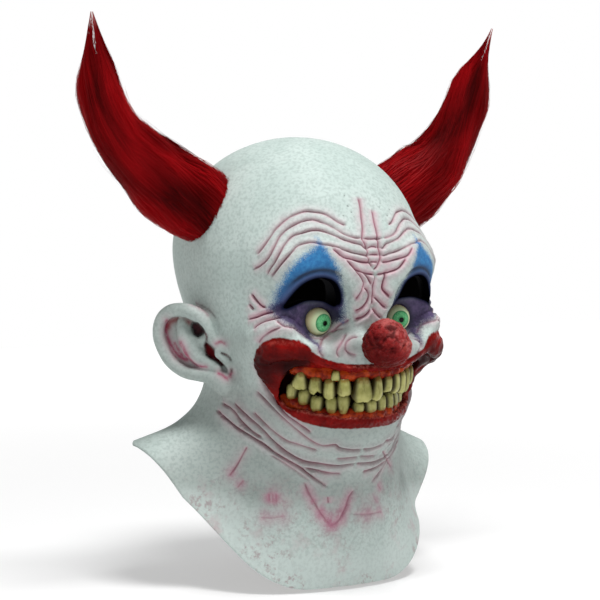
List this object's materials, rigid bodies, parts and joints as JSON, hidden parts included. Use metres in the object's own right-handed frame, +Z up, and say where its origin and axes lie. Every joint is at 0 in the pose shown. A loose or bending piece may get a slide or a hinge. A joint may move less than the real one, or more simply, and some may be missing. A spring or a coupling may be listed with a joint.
{
  "type": "clown mask",
  "caption": "Hollow overhead latex clown mask with a creased bald head, toothy open grin, bulb nose, round ears, a chest bib and horn-like tufts of hair.",
  "frame": {"origin": "inside of the crown, where the top of the wearer's head bears", "axes": "+Z up, -Y the way the face looks, +X towards the wearer's left"},
  "size_m": [0.3739, 0.2503, 0.4303],
  "materials": {
    "latex": "matt latex, painted blue, purple, red and pink",
    "nose": "satin warty latex",
    "eye": "glossy painted dome",
    "teeth": "satin stained teeth on glossy red gums",
    "hair": "combed synthetic hair"
  },
  "bodies": {
    "root": {"latex_shell": "latex", "nose": "nose", "eye_right": "eye", "eye_left": "eye", "upper_teeth": "teeth", "lower_teeth": "teeth", "hair_tuft_right": "hair", "hair_tuft_left": "hair"}
  },
  "joints": []
}
